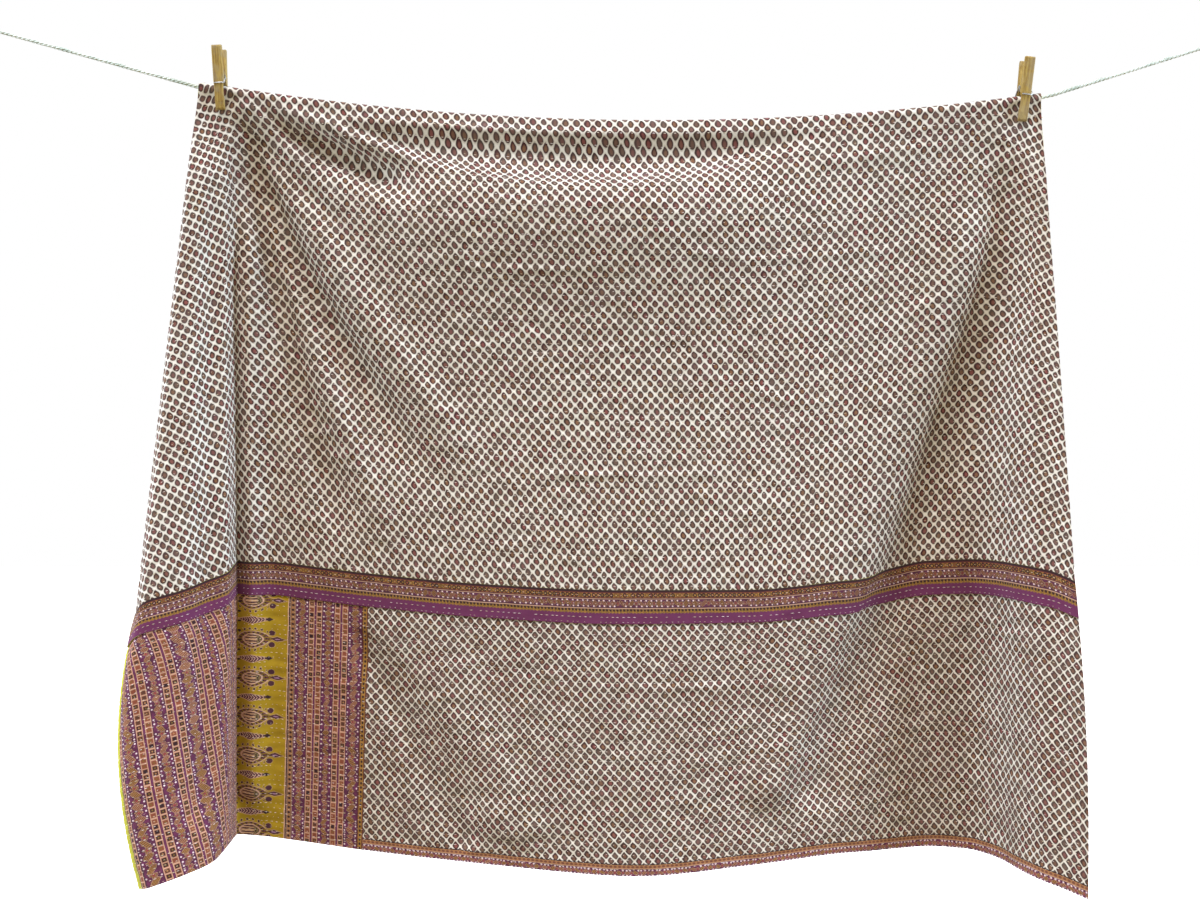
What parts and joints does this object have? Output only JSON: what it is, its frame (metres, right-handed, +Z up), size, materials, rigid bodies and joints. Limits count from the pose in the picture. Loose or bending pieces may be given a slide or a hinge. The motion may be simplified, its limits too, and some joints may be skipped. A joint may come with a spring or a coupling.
{
  "type": "kantha quilt on a clothes line",
  "caption": "Stitched cotton quilt with a small all-over print, a printed border and a striped end panel, folded over a sagging clothes line under wooden spring pegs.",
  "frame": {"origin": "middle of the left plate's wall face, where the clothes line is fixed", "axes": "+X along the line towards the right plate, +Y from the quilt's front to its back, +Z up"},
  "size_m": [1.857, 0.2159, 1.2601],
  "materials": {
    "printed_cotton": "soft washed cotton with a small brown motif, running stitches and puckers",
    "panelled_cotton": "soft washed cotton with plum, tan and mustard printed stripes and border",
    "rope": "three-strand twisted rope, matt",
    "peg_wood": "bare light wood, lightly weathered",
    "spring_wire": "drawn steel wire, dulled",
    "plate_metal": "zinc-plated steel, satin"
  },
  "bodies": {
    "root": {"upper_panel": "printed_cotton", "lower_panel": "panelled_cotton", "line": "rope", "left_plate": "plate_metal", "left_screw_upper": "plate_metal", "left_screw_lower": "plate_metal", "left_hitch": "rope", "left_peg_front_leg": "peg_wood", "left_peg_back_leg": "peg_wood", "left_peg_spring": "spring_wire", "right_plate": "plate_metal", "right_screw_upper": "plate_metal", "right_screw_lower": "plate_metal", "right_hitch": "rope", "right_peg_front_leg": "peg_wood", "right_peg_back_leg": "peg_wood", "right_peg_spring": "spring_wire"}
  },
  "joints": []
}
